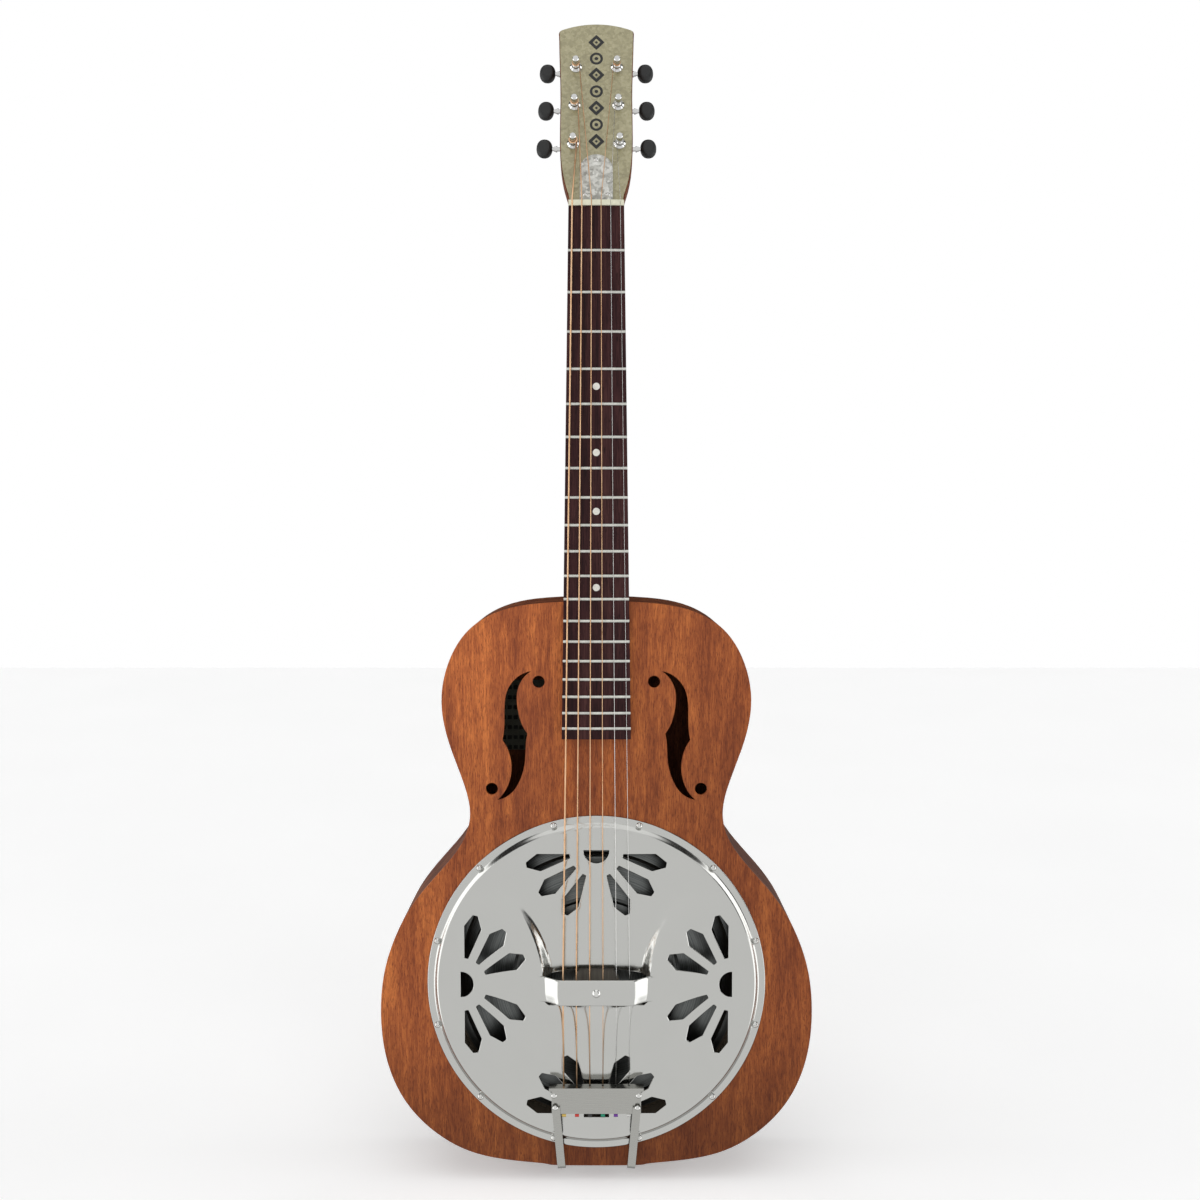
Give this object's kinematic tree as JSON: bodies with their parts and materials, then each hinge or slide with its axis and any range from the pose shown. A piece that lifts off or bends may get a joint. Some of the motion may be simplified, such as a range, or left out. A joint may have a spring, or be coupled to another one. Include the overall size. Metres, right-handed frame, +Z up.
{
  "type": "resonator guitar",
  "caption": "Wooden-bodied single-cone resonator guitar: pierced metal coverplate with a palm rest, f-holes, trapeze tailpiece, round neck and slant-back headstock with geared tuners.",
  "frame": {"origin": "where the strap button's screw enters the tail, on the centreline and halfway through the body's depth", "axes": "+Z up the neck, -Y out of the front (soundboard), +X to the treble side"},
  "size_m": [0.359, 0.1135, 0.9667],
  "materials": {
    "mahogany_top": "satin open-pore finish, orange-brown mahogany",
    "mahogany_body": "satin darker brown mahogany",
    "lining_wood": "raw wood inside the body",
    "paper_label": "dark printed paper",
    "spun_aluminium": "spun bare metal",
    "maple": "raw maple",
    "steel_hardware": "plated screws and rivets",
    "chrome_plate": "polished plating",
    "satin_nickel": "satin nickel plating",
    "rosewood": "dark open-pore rosewood",
    "fret_wire": "polished nickel silver",
    "dot_pearl": "pearl plastic",
    "nut_bone": "cream bone substitute",
    "pearl_green": "aged green-grey pearloid",
    "pearl_white": "white-grey pearloid",
    "brass_nut": "turned brass",
    "tuner_chrome": "polished plating",
    "black_button": "black plastic",
    "gear_brass": "cut brass",
    "ball_ends": "coloured plated barrels, one colour per string",
    "wound_bronze": "phosphor bronze winding",
    "plain_steel": "bright plain steel wire"
  },
  "bodies": {
    "guitar": {"soundboard": "mahogany_top", "back_board": "mahogany_body", "side_bass": "mahogany_body", "side_treble": "mahogany_body", "linings": "lining_wood", "back_braces": "lining_wood", "neck_block": "lining_wood", "tail_block": "lining_wood", "sound_well": "lining_wood", "maker_label": "paper_label", "resonator_cone": "spun_aluminium", "biscuit": "maple", "saddle": "maple", "biscuit_screw": "steel_hardware", "coverplate": "chrome_plate", "coverplate_screws": "steel_hardware", "tailpiece_plate": "satin_nickel", "tailpiece_straps": "satin_nickel", "tailpiece_rivets": "steel_hardware", "strap_button": "satin_nickel", "neck": "mahogany_body", "fretboard": "rosewood", "frets": "fret_wire", "position_dots": "dot_pearl", "nut": "nut_bone", "headstock_facing": "pearl_green", "truss_rod_cover": "pearl_white", "truss_rod_cover_screws": "steel_hardware", "truss_rod": "steel_hardware", "tuner_plates": "satin_nickel", "tuner_plate_screws": "steel_hardware", "tuner_bushings": "tuner_chrome", "string_ball_ends": "ball_ends", "wound_strings": "wound_bronze", "plain_strings": "plain_steel"},
    "knob_bass_low": {"worm_shaft_bass_low": "tuner_chrome", "button_bass_low": "black_button"},
    "post_bass_low": {"string_post_bass_low": "tuner_chrome", "gear_bass_low": "gear_brass"},
    "knob_bass_mid": {"worm_shaft_bass_mid": "tuner_chrome", "button_bass_mid": "black_button"},
    "post_bass_mid": {"string_post_bass_mid": "tuner_chrome", "gear_bass_mid": "gear_brass"},
    "knob_bass_top": {"worm_shaft_bass_top": "tuner_chrome", "button_bass_top": "black_button"},
    "post_bass_top": {"string_post_bass_top": "tuner_chrome", "gear_bass_top": "gear_brass"},
    "knob_treble_low": {"worm_shaft_treble_low": "tuner_chrome", "button_treble_low": "black_button"},
    "post_treble_low": {"string_post_treble_low": "tuner_chrome", "gear_treble_low": "gear_brass"},
    "knob_treble_mid": {"worm_shaft_treble_mid": "tuner_chrome", "button_treble_mid": "black_button"},
    "post_treble_mid": {"string_post_treble_mid": "tuner_chrome", "gear_treble_mid": "gear_brass"},
    "knob_treble_top": {"worm_shaft_treble_top": "tuner_chrome", "button_treble_top": "black_button"},
    "post_treble_top": {"string_post_treble_top": "tuner_chrome", "gear_treble_top": "gear_brass"},
    "truss_nut": {"truss_nut": "brass_nut"}
  },
  "joints": [
    {"name": "turn_knob_bass_low", "type": "hinge", "parent": "guitar", "child": "knob_bass_low", "pos_m": [-0.03081, -0.00109, 0.84845], "axis": [-0.9996, 0.0079, 0.0282], "continuous": true},
    {"name": "turn_post_bass_low", "type": "hinge", "parent": "guitar", "child": "post_bass_low", "pos_m": [-0.019, -0.02019, 0.84698], "axis": [0, -0.9632, 0.2689], "continuous": true},
    {"name": "turn_knob_bass_mid", "type": "hinge", "parent": "guitar", "child": "knob_bass_mid", "pos_m": [-0.02978, 0.00832, 0.88216], "axis": [-0.9996, 0.0079, 0.0282], "continuous": true},
    {"name": "turn_post_bass_mid", "type": "hinge", "parent": "guitar", "child": "post_bass_mid", "pos_m": [-0.01797, -0.01078, 0.88069], "axis": [0, -0.9632, 0.2689], "continuous": true},
    {"name": "turn_knob_bass_top", "type": "hinge", "parent": "guitar", "child": "knob_bass_top", "pos_m": [-0.02876, 0.01773, 0.91587], "axis": [-0.9996, 0.0079, 0.0282], "continuous": true},
    {"name": "turn_post_bass_top", "type": "hinge", "parent": "guitar", "child": "post_bass_top", "pos_m": [-0.01695, -0.00137, 0.9144], "axis": [0, -0.9632, 0.2689], "continuous": true},
    {"name": "turn_knob_treble_low", "type": "hinge", "parent": "guitar", "child": "knob_treble_low", "pos_m": [0.03081, -0.00109, 0.84845], "axis": [0.9996, 0.0079, 0.0282], "continuous": true},
    {"name": "turn_post_treble_low", "type": "hinge", "parent": "guitar", "child": "post_treble_low", "pos_m": [0.019, -0.02019, 0.84698], "axis": [0, -0.9632, 0.2689], "continuous": true},
    {"name": "turn_knob_treble_mid", "type": "hinge", "parent": "guitar", "child": "knob_treble_mid", "pos_m": [0.02978, 0.00832, 0.88216], "axis": [0.9996, 0.0079, 0.0282], "continuous": true},
    {"name": "turn_post_treble_mid", "type": "hinge", "parent": "guitar", "child": "post_treble_mid", "pos_m": [0.01797, -0.01078, 0.88069], "axis": [0, -0.9632, 0.2689], "continuous": true},
    {"name": "turn_knob_treble_top", "type": "hinge", "parent": "guitar", "child": "knob_treble_top", "pos_m": [0.02876, 0.01773, 0.91587], "axis": [0.9996, 0.0079, 0.0282], "continuous": true},
    {"name": "turn_post_treble_top", "type": "hinge", "parent": "guitar", "child": "post_treble_top", "pos_m": [0.01695, -0.00137, 0.9144], "axis": [0, -0.9632, 0.2689], "continuous": true},
    {"name": "turn_truss_nut", "type": "hinge", "parent": "guitar", "child": "truss_nut", "pos_m": [0, -0.02681, 0.80468], "axis": [0, 0.0279, 0.9996], "range_deg": [-180, 180]}
  ],
  "couplings": [
    {"joint": "turn_post_bass_low", "follows": "turn_knob_bass_low", "ratio": 0.071429},
    {"joint": "turn_post_bass_mid", "follows": "turn_knob_bass_mid", "ratio": 0.071429},
    {"joint": "turn_post_bass_top", "follows": "turn_knob_bass_top", "ratio": 0.071429},
    {"joint": "turn_post_treble_low", "follows": "turn_knob_treble_low", "ratio": 0.071429},
    {"joint": "turn_post_treble_mid", "follows": "turn_knob_treble_mid", "ratio": 0.071429},
    {"joint": "turn_post_treble_top", "follows": "turn_knob_treble_top", "ratio": 0.071429}
  ]
}
